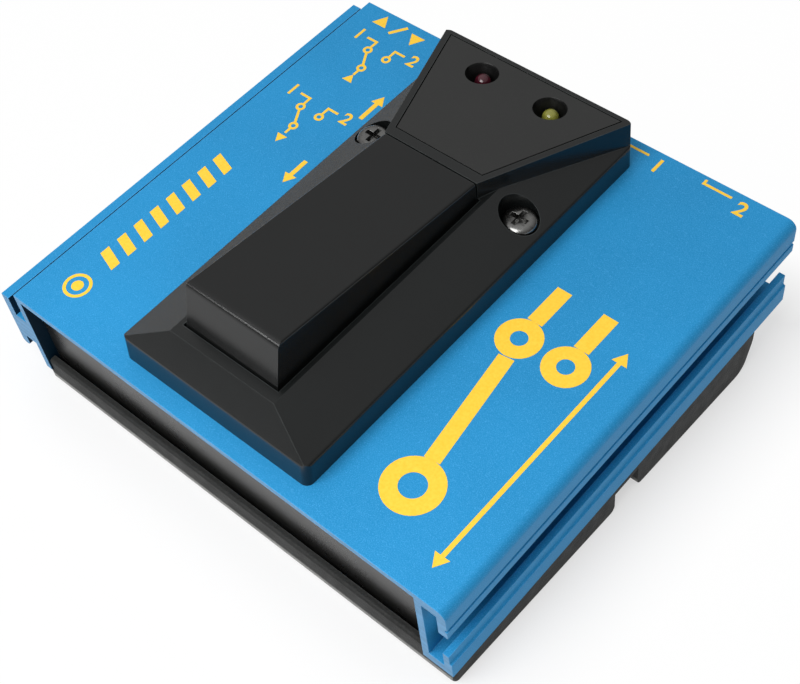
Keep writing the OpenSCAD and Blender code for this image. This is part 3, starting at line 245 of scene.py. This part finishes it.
def rubber(name):
    """Black sole rubber: pebbled grain, and grey scuffs at the foot of its front"""
    black = (0.014, 0.0145, 0.014)
    scuff = (0.3, 0.3, 0.29, 1)
    f = Finish(name, Specular_IOR_Level=0.22)
    cloud = f.noise(120, 4)
    pebbles = f.cells(2600)
    smear = f.noise(420, 5)
    tone = f.blend(f.spread(cloud, 0, 1), shade(black, 0.85), shade(black, 1.2))
    grained = f.blend(f.spread(pebbles, 0.6, 0, 0.1, 0.6), tone, shade(black, 1.7))
    height = f.node("SeparateXYZ", {0: f.place}).outputs["Z"]
    low = f.spread(height, 1, 0, 1.2e-3, 1.9e-3)
    front = f.facing(Vector((0, 1, 0)))
    foot = f.combine(f.combine(low, front, "MULTIPLY"), f.spread(smear, 0.6, 1), "MULTIPLY")
    edge_toned = f.combine(foot, f.edges(3e-4, 0.2), "MAXIMUM")
    f.feed("Base Color", f.blend(edge_toned, grained, scuff))
    f.feed("Roughness", f.spread(smear, 0.56, 0.68))
    f.feed("Normal", f.bump(pebbles, 5e-5))
    return f.material


def lens(name, colour, deep):
    """Tinted lamp body, nearly opaque, with a deeper tone in places"""
    f = Finish(name, Roughness=0.12, IOR=1.5, Coat_Weight=0.25, Coat_Roughness=0.03,
               Transmission_Weight=0.12)
    cloud = f.noise(1200, 2)
    f.feed("Base Color", f.blend(f.spread(cloud, 0, 1), (*deep, 1), (*colour, 1)))
    f.feed("Normal", f.bump(f.noise(2500, 1), 3e-6))
    return f.material


def laminate(name):
    """Green circuit board: solder resist over traces"""
    resist = (0.008, 0.09, 0.03, 1)
    over_trace = (0.03, 0.2, 0.06, 1)
    f = Finish(name, Coat_Weight=0.4)
    traces = f.spread(f.cells(420, "DISTANCE_TO_EDGE"), 1, 0, 0.03, 0.09)
    weave = f.noise(4200, 2)
    f.feed("Base Color", f.blend(traces, resist, over_trace))
    f.feed("Roughness", f.spread(weave, 0.3, 0.45))
    f.feed("Normal", f.bump(traces, 3e-5, f.bump(weave, 8e-6)))
    return f.material


def ink(name):
    """Screen-printed yellow, slightly mottled, with pinholes"""
    yellow = (0.94, 0.57, 0.024)
    pale = (0.95, 0.6, 0.045, 1)
    thin = (0.72, 0.47, 0.07, 1)
    f = Finish(name, Roughness=0.5)
    mottle = f.noise(2200, 4)
    pinholes = f.spread(f.noise(5200, 1), 0, 0.5, 0.66, 0.8)
    tone = f.blend(f.spread(mottle, 0, 1), shade(yellow, 0.93), pale)
    f.feed("Base Color", f.blend(pinholes, tone, thin))
    f.feed("Roughness", f.spread(mottle, 0.42, 0.56))
    f.feed("Normal", f.bump(mottle, 6e-6))
    return f.material


def make_finishes():
    """One material for each slot of the record, and one each for the pedal and the lamp block's inset"""
    plastics = {
        # black_moulding and black_pedal: edges lifted ninefold, rubbed wear and painted highlight lines
        # together
        "black_moulding": dict(colour=(0.0062, 0.0072, 0.0072), rough=0.23, grain=5200, depth=1.6e-5,
                               rub=0.8, lift=9, Specular_IOR_Level=0.4),
        "black_pedal": dict(colour=(0.0055, 0.006, 0.006), rough=0.25, grain=5200, depth=1e-5,
                            rub=0.8, lift=9, Specular_IOR_Level=0.34),
        # black_inset: edges darkened as painted shade in its groove and well rims, and painted shade on
        # its walls
        "black_inset": dict(colour=(0.015, 0.0155, 0.015), rough=0.3, grain=4600, depth=3e-5,
                            rub=1.0, lift=0.1, wells=0.25, Specular_IOR_Level=0.4),
        "base_moulding": dict(colour=(0.03, 0.03, 0.031), rough=0.5, grain=4200, depth=3e-5),
        "panel_black": dict(colour=(0.009, 0.0088, 0.0085), rough=0.28, grain=2800, depth=1.2e-5,
                            Specular_IOR_Level=0.35),
        "ribbon_grey": dict(colour=(0.32, 0.32, 0.33), rough=0.5, grain=1800, depth=2e-5, rub=0.1),
        "lead_red": dict(colour=(0.35, 0.02, 0.015), rough=0.45, grain=2400, depth=1e-5, rub=0.1),
        "component_tan": dict(colour=(0.4, 0.26, 0.12), rough=0.4, grain=2600, depth=1e-5, rub=0.1),
        "switch_black": dict(colour=(0.014, 0.014, 0.014), rough=0.32, grain=4800, depth=1e-5, rub=0.15),
        "ivory_plastic": dict(colour=(0.75, 0.7, 0.54), rough=0.35, grain=4200, depth=8e-6, rub=0.1),
        "foam_grey": dict(colour=(0.09, 0.09, 0.09), rough=0.9, grain=1500, depth=2e-4, rub=0.0),
    }
    metals = {
        "dark_steel": dict(colour=(0.2, 0.2, 0.195), rough=0.26, grain=2600, spots=0.6),
        "zinc_steel": dict(colour=(0.6, 0.6, 0.58), rough=0.3, grain=2600, stretch=(1, 0.2, 1)),
        "tinned_brass": dict(colour=(0.62, 0.5, 0.28), rough=0.35),
        "cell_wrap": dict(colour=(0.5, 0.51, 0.53), rough=0.38, grain=900, stretch=(1, 0.1, 1)),
    }
    lenses = {
        "red_lens": dict(colour=(0.065, 0.005, 0.014), deep=(0.035, 0.003, 0.008)),
        "green_lens": dict(colour=(0.26, 0.255, 0.04), deep=(0.19, 0.19, 0.03)),
    }
    made = {
        "blue_anodised": anodised("blue_anodised"),
        "sole_rubber": rubber("sole_rubber"),
        "green_laminate": laminate("green_laminate"),
    }
    for maker, looks in ((moulded, plastics), (metal, metals), (lens, lenses)):
        made.update({name: maker(name, **look) for name, look in looks.items()})
    return made


def add_mesh(name, mesh_data, finish, body="chassis", matrix=case_matrix):
    """New piece from a bmesh drawn in the case frame, riding on a body"""
    mesh_data.normal_update()
    data = bpy.data.meshes.new(name)
    mesh_data.to_mesh(data)
    mesh_data.free()
    data.transform(matrix)
    data.materials.append(finish)
    piece = bpy.data.objects.new(name, data)
    bpy.context.scene.collection.objects.link(piece)
    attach(piece, body)
    return piece


# Edge rounding in millimetres: of the pieces named here, and of the rest
EDGE_WIDTHS = {
    "body_shell": 0.18, "pedal_housing": 0.3, "pedal": 0.5, "indicator_plate": 0.2,
    "front_sole": 0.3, "rear_sole": 0.3, "front_panel": 0.3, "rear_panel": 0.3,
    "base_plate": 0.2, "battery_hatch": 0.25, "jack_nuts": 0.25, "housing_nuts": 0.2,
}
FINE_EDGE = 0.08


def soften(node, width, merge_flats):
    """Rounds a node's edges with modifiers, as far as its short edges leave room, and keeps its mesh"""
    piece = frame["nodes"][node]
    weld = piece.modifiers.new("weld", "WELD")
    weld.merge_threshold = 1e-6
    if merge_flats:
        flat = piece.modifiers.new("flat", "DECIMATE")
        flat.decimate_type = "DISSOLVE"
        flat.angle_limit = math.radians(0.5)
    bevel = piece.modifiers.new("bevel", "BEVEL")
    bevel.limit_method = "ANGLE"
    bevel.angle_limit = math.radians(24)
    bevel.width = width * MM
    bevel.segments = 2
    bevel.miter_outer = "MITER_ARC"
    shading = piece.modifiers.new("shading", "WEIGHTED_NORMAL")
    shading.keep_sharp = False
    shading.weight = 60


def dress_nodes(finishes):
    """Gives each CAD node its finish and rounded edges"""
    special = {"indicator_plate": "black_inset", "pedal": "black_pedal"}
    for part in frame["record"]["subparts"]:
        node = part["node"]
        finish = special.get(node, part["material_slot"])
        slots = frame["nodes"][node].data.materials
        slots.clear()
        slots.append(finishes[finish])
        # The hatch's outer face has too many pockets to merge into one
        soften(node, EDGE_WIDTHS.get(node, FINE_EDGE), merge_flats=node != "battery_hatch")


# Printed marks on the plate, as flat outlines in the case frame
INK_RISE = 0.035
INK_SINK = 0.02
FINE_LINE = 0.5
HEAVY_LINE = 2.9
ARC_STEPS = 40
NUMERAL_WEIGHT = 0.02


def stroke(points, width):
    """Outline of a line of a width along points, with mitred corners"""
    path = [Vector(p) for p in points]
    ways = [(b - a).normalized() for a, b in zip(path, path[1:])]
    left, right = [], []
    for i, p in enumerate(path):
        before = ways[max(i - 1, 0)]
        after = ways[min(i, len(ways) - 1)]
        across = Vector((-before.y - after.y, before.x + after.x)).normalized()
        reach = width / 2 / across.dot(Vector((-before.y, before.x)))
        left.append(p + across * reach)
        right.append(p - across * reach)
    return [left + right[::-1]]


def arc_points(centre, radius):
    turns = [2 * math.pi * i / ARC_STEPS for i in range(ARC_STEPS)]
    return [Vector(centre) + radius * Vector((math.cos(a), math.sin(a))) for a in turns]


def disc(centre, radius):
    return [arc_points(centre, radius)]


def ring(centre, radius, width):
    """Faces of a ring, of outer radius and line width"""
    outer = arc_points(centre, radius)
    inner = arc_points(centre, radius - width)
    return [[outer[i - 1], outer[i], inner[i], inner[i - 1]] for i in range(ARC_STEPS)]


def arrow(tail, tip, width, head):
    """Straight arrow with a triangular head"""
    tail, tip = Vector(tail), Vector(tip)
    way = (tip - tail).normalized()
    side = Vector((-way.y, way.x))
    neck = tip - way * head
    half = side * width / 2
    wing = side * head * 0.6
    return [[tail - half, neck - half, neck - wing, tip, neck + wing, neck + half, tail + half]]


def triangle(centre, radius, turn):
    angles = [turn + 2 * math.pi * i / 3 for i in range(3)]
    return [[Vector(centre) + radius * Vector((math.cos(a), math.sin(a))) for a in angles]]


def numeral(figure, centre, height):
    """Faces of a plain numeral, from Blender's own type"""
    data = bpy.data.curves.new("numeral", "FONT")
    data.body = figure
    data.align_x = data.align_y = "CENTER"
    data.size = 1
    data.offset = NUMERAL_WEIGHT
    text = bpy.data.objects.new("numeral", data)
    bpy.context.scene.collection.objects.link(text)
    bpy.context.view_layer.update()
    mesh = text.to_mesh()
    points = [v.co.xy for v in mesh.vertices]
    low, high = min(p.y for p in points), max(p.y for p in points)
    scale = height / (high - low)
    middle = Vector(((min(p.x for p in points) + max(p.x for p in points)) / 2, (low + high) / 2))
    faces = [[Vector(centre) + (points[i] - middle) * scale for i in f.vertices] for f in mesh.polygons]
    text.to_mesh_clear()
    bpy.data.objects.remove(text)
    return faces


def print_mark(name, faces, finish):
    """Thin layer of ink on the plate from flat faces in the case frame"""
    mesh = bmesh.new()
    for face in faces:
        mesh.faces.new([mesh.verts.new((p.x, p.y, INK_RISE)) for p in face])
    bmesh.ops.remove_doubles(mesh, verts=mesh.verts, dist=1e-4)
    bmesh.ops.recalc_face_normals(mesh, faces=mesh.faces)
    for face in mesh.faces:
        if face.normal.z < 0:
            face.normal_flip()
    top = list(mesh.faces)
    grown = bmesh.ops.extrude_face_region(mesh, geom=top, use_keep_orig=True)
    low = [v for v in grown["geom"] if isinstance(v, bmesh.types.BMVert)]
    bmesh.ops.translate(mesh, verts=low, vec=(0, 0, -INK_RISE - INK_SINK))
    bmesh.ops.recalc_face_normals(mesh, faces=mesh.faces)
    add_mesh(name, mesh, finish)


def shifted(faces, offset):
    return [[p + Vector(offset) for p in face] for face in faces]


def changeover(inward):
    """Changeover switch symbol around its own middle, with numbered contacts"""
    contact = 0.95
    marks = []
    for x in (-2.3, 2.3):
        side = math.copysign(1, x)
        marks += ring((x, 1.6), contact, FINE_LINE)
        marks += stroke([(x, 1.6 + contact), (x, 4.2), (x + side * 2.4, 4.2)], FINE_LINE)
    marks += ring((0, -2.8), contact, FINE_LINE)
    marks += stroke([(-0.35, -1.95), (-1.9, 0.75)], FINE_LINE)
    marks += stroke([(0, -2.8 - contact), (0, -5)], FINE_LINE)
    marks += triangle((0, -6.3), 1.3, math.pi / 2 if inward else -math.pi / 2)
    marks += numeral("1", (-6.6, 4.2), 2.9)
    marks += numeral("2", (6.8, 4.2), 2.9)
    return marks


def add_marks(finish):
    """Printed marks, with each group as a piece of its own"""
    leaders = []
    for x, figure in ((16, "1"), (32.8, "2")):
        leaders += stroke([(x, 90.2), (x, 89.2), (x + 5.6, 89.2)], FINE_LINE)
        leaders += numeral(figure, (x + 8.2, 88), 3.2)
    print_mark("mark_leaders", leaders, finish)

    shared = triangle((-39.5, 88), 1.9, math.pi / 2)
    shared += stroke([(-36.4, 86.4), (-34.2, 89.6)], 0.7)
    shared += triangle((-31, 88), 1.9, -math.pi / 2)
    print_mark("mark_shared", shared, finish)

    print_mark("mark_inward", shifted(changeover(True), (-34.2, 79)), finish)
    print_mark("mark_outward", shifted(changeover(False), (-34.2, 60.4)), finish)
    arrows = arrow((-25.4, 66.1), (-25.5, 72.9), 0.9, 2.2)
    arrows += arrow((-26.2, 52.5), (-26.1, 46.3), 0.9, 2.2)
    print_mark("mark_arrows", arrows, finish)

    socket = ring((-38, 8.2), 2.6, 0.6) + disc((-38, 8.2), 1.1)
    bars = []
    bar_count = 8
    bar_pitch = 3.9
    for i in range(bar_count):
        y = 14 + bar_pitch * i
        bars += [[Vector(p) for p in ((-35.8, y), (-35.8, y + 2), (-40.2, y + 3.4), (-40.2, y + 1.4))]]
    print_mark("mark_bars", socket + bars, finish)

    big = ring((32.5, 13.5), 5.2, HEAVY_LINE)
    for x in (28.2, 37.4):
        big += ring((x, 44.5), 4, 2.5)
        big += stroke([(x, 48.5), (x, 56.5)], HEAVY_LINE)
    big += stroke([(31.9, 18.6), (28.9, 40.4)], HEAVY_LINE)
    print_mark("mark_switch", big, finish)

    thin = arrow((43.6, 28.6), (43.6, 4.8), 0.8, 2.4) + arrow((43.6, 28.6), (43.6, 52.4), 0.8, 2.4)
    print_mark("mark_two_way", thin, finish)


# Return spring under the pedal, in the case frame. SPRING_END is the rise of a closed end turn, as a
# share of the height.
SPRING_Y = 20
SPRING_RADIUS = 3.6
SPRING_WIRE = 0.45
SPRING_TURNS = 7
SPRING_LOW = 1.65
SPRING_HIGH = 14.73
SPRING_END = 0.12


def spring_point(turn):
    """Point of the spring's centre line after a number of turns from its foot"""
    left = SPRING_TURNS - turn
    if turn < 1:
        rise = SPRING_END * turn
    elif left < 1:
        rise = 1 - SPRING_END * left
    else:
        rise = SPRING_END + (1 - 2 * SPRING_END) * (turn - 1) / (SPRING_TURNS - 2)
    angle = 2 * math.pi * turn
    return Vector((SPRING_RADIUS * math.cos(angle), SPRING_Y + SPRING_RADIUS * math.sin(angle),
                   SPRING_LOW + (SPRING_HIGH - SPRING_LOW) * rise))


def tube(mesh, path, radius):
    """Closed round tube along a path"""
    sides = 12
    rings = []
    for i, p in enumerate(path):
        way = (path[min(i + 1, len(path) - 1)] - path[max(i - 1, 0)]).normalized()
        side = way.cross(Vector((0, 0, 1))).normalized()
        up = side.cross(way)
        rings.append([mesh.verts.new(p + radius * (side * math.cos(a) + up * math.sin(a)))
                      for a in (2 * math.pi * k / sides for k in range(sides))])
    for low, high in zip(rings, rings[1:]):
        for k in range(sides):
            mesh.faces.new((low[k - 1], low[k], high[k], high[k - 1]))
    mesh.faces.new(rings[0])
    mesh.faces.new(rings[-1][::-1])
    bmesh.ops.recalc_face_normals(mesh, faces=mesh.faces)


def add_spring(finish):
    steps = 32
    mesh = bmesh.new()
    tube(mesh, [spring_point(i / steps) for i in range(SPRING_TURNS * steps + 1)], SPRING_WIRE)
    for face in mesh.faces:
        face.smooth = True
    spring = add_mesh("coil_spring", mesh, finish)
    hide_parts("return_spring")
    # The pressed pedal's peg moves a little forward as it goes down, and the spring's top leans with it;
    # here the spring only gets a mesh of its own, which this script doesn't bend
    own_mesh(spring)


def add_pad(finish):
    """Foam pad on the hatch: its solid's wedge with soft edges and faces that sink a little"""
    edge = 0.4 * MM
    sink = 0.25 * MM
    ripples = 400
    mesh = bmesh.new()
    mesh.from_mesh(frame["nodes"]["battery_pad"].data)
    bmesh.ops.remove_doubles(mesh, verts=mesh.verts, dist=1e-6)
    bmesh.ops.dissolve_limit(mesh, angle_limit=0.02, verts=mesh.verts, edges=mesh.edges)
    bmesh.ops.bevel(mesh, geom=mesh.edges[:], offset=edge, segments=3, profile=0.5, affect="EDGES")
    long_edges = [e for e in mesh.edges if e.calc_length() > 3 * edge]
    bmesh.ops.subdivide_edges(mesh, edges=long_edges, cuts=11, use_grid_fill=True)
    mesh.normal_update()
    for vert in mesh.verts:
        if vert.normal.z > -0.5:
            vert.co -= vert.normal * sink * (0.5 + 0.5 * noise.noise(vert.co * ripples))
    for face in mesh.faces:
        face.smooth = True
    pad = add_mesh("foam_pad", mesh, finish, "hatch", Matrix.Identity(4))
    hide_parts("battery_pad")


def add_floor():
    """Pale floor that shows white to the camera; it glows less near the object, which keeps the object's
    shadow there and paints a band of shade around it
    """
    near, far = 0.05, 0.067
    near_white, far_white = 0.55, 0.98
    half_size = 8
    drop = 0.1 * MM
    f = Finish("floor", Roughness=0.9)
    cloud = f.spread(f.noise(3, 2), 0, 1)
    f.feed("Base Color", f.blend(cloud, (0.82, 0.82, 0.82, 1), (0.84, 0.84, 0.84, 1)))
    path = f.node("LightPath").outputs
    seen = f.combine(path["Is Camera Ray"], path["Is Glossy Ray"], "MAXIMUM")
    seen = f.combine(seen, path["Is Transmission Ray"], "MAXIMUM")
    spot = f.node("VectorMath", {0: f.place}, operation="ABSOLUTE").outputs["Vector"]
    sides = f.node("SeparateXYZ", {0: spot}).outputs
    reach = f.combine(sides["X"], sides["Y"], "MAXIMUM")
    # Painted shade: the glow falls from far_white to near_white towards the object, so the floor darkens
    # around it
    painted_shade_ramp = f.spread(reach, near_white, far_white, near, far)
    share = f.combine(seen, painted_shade_ramp, "MULTIPLY")
    glow = f.node("Emission", {"Color": (1, 1, 1, 1), "Strength": 1.0}).outputs[0]
    mixed = f.node("MixShader", {0: share, 1: f.shader.outputs[0], 2: glow}).outputs[0]
    f.tree.links.new(mixed, f.tree.nodes["Material Output"].inputs["Surface"])
    mesh = bmesh.new()
    bmesh.ops.create_grid(mesh, x_segments=1, y_segments=1, size=half_size)
    data = bpy.data.meshes.new("floor")
    mesh.to_mesh(data)
    mesh.free()
    data.materials.append(f.material)
    floor = bpy.data.objects.new("floor", data)
    floor.location.z = -drop
    bpy.context.scene.collection.objects.link(floor)


def add_lamp(name, place, size, power):
    """Square lamp that looks at the middle of the object"""
    target = Vector((0, 0, 0.02))
    data = bpy.data.lights.new(name, "AREA")
    data.shape = "RECTANGLE"
    data.size = data.size_y = size
    data.energy = power
    lamp = bpy.data.objects.new(name, data)
    lamp.location = place
    lamp.visible_camera = False
    lamp.rotation_mode = "QUATERNION"
    lamp.rotation_quaternion = (target - Vector(place)).to_track_quat("-Z", "Y")
    bpy.context.scene.collection.objects.link(lamp)
    return lamp


def add_light():
    """Studio dome, brighter overhead and on the left, a lamp above the front, and a strip for sheen"""
    left_strength = 1.02
    right_strength = 0.5
    stops = ((0, 0.1), (0.3, 0.15), (0.55, 0.62), (0.7, 1), (1, 1))
    world = bpy.data.worlds.new("studio")
    world.use_nodes = True
    nodes, links = world.node_tree.nodes, world.node_tree.links
    way = nodes.new("ShaderNodeTexCoord").outputs["Generated"]
    split = nodes.new("ShaderNodeSeparateXYZ")
    dome = nodes.new("ShaderNodeValToRGB")
    ramp = dome.color_ramp.elements
    for i, (height, level) in enumerate(stops):
        stop = ramp[0] if i == 0 else ramp[1] if i == len(stops) - 1 else ramp.new(height)
        stop.position = height
        stop.color = (level, level, level, 1)
    links.new(way, split.inputs[0])
    links.new(split.outputs["Z"], dome.inputs[0])
    links.new(dome.outputs[0], nodes["Background"].inputs["Color"])
    sides = nodes.new("ShaderNodeMapRange")
    side_range = {"From Min": -1, "From Max": 1, "To Min": left_strength, "To Max": right_strength}
    for label, value in side_range.items():
        sides.inputs[label].default_value = value
    links.new(split.outputs["X"], sides.inputs["Value"])
    links.new(sides.outputs["Result"], nodes["Background"].inputs["Strength"])
    bpy.context.scene.world = world
    add_lamp("key", place=(0, -0.2, 0.26), size=0.22, power=0.93)
    strip = add_lamp("strip", place=(-0.18, -0.35, 0.2), size=0.06, power=0.22)
    strip.visible_diffuse = False


add_camera()
finishes = make_finishes()
dress_nodes(finishes)
add_marks(ink("yellow_ink"))
add_spring(finishes["zinc_steel"])
add_pad(finishes["foam_grey"])
add_floor()
add_light()
bpy.context.scene.view_settings.view_transform = "Standard"
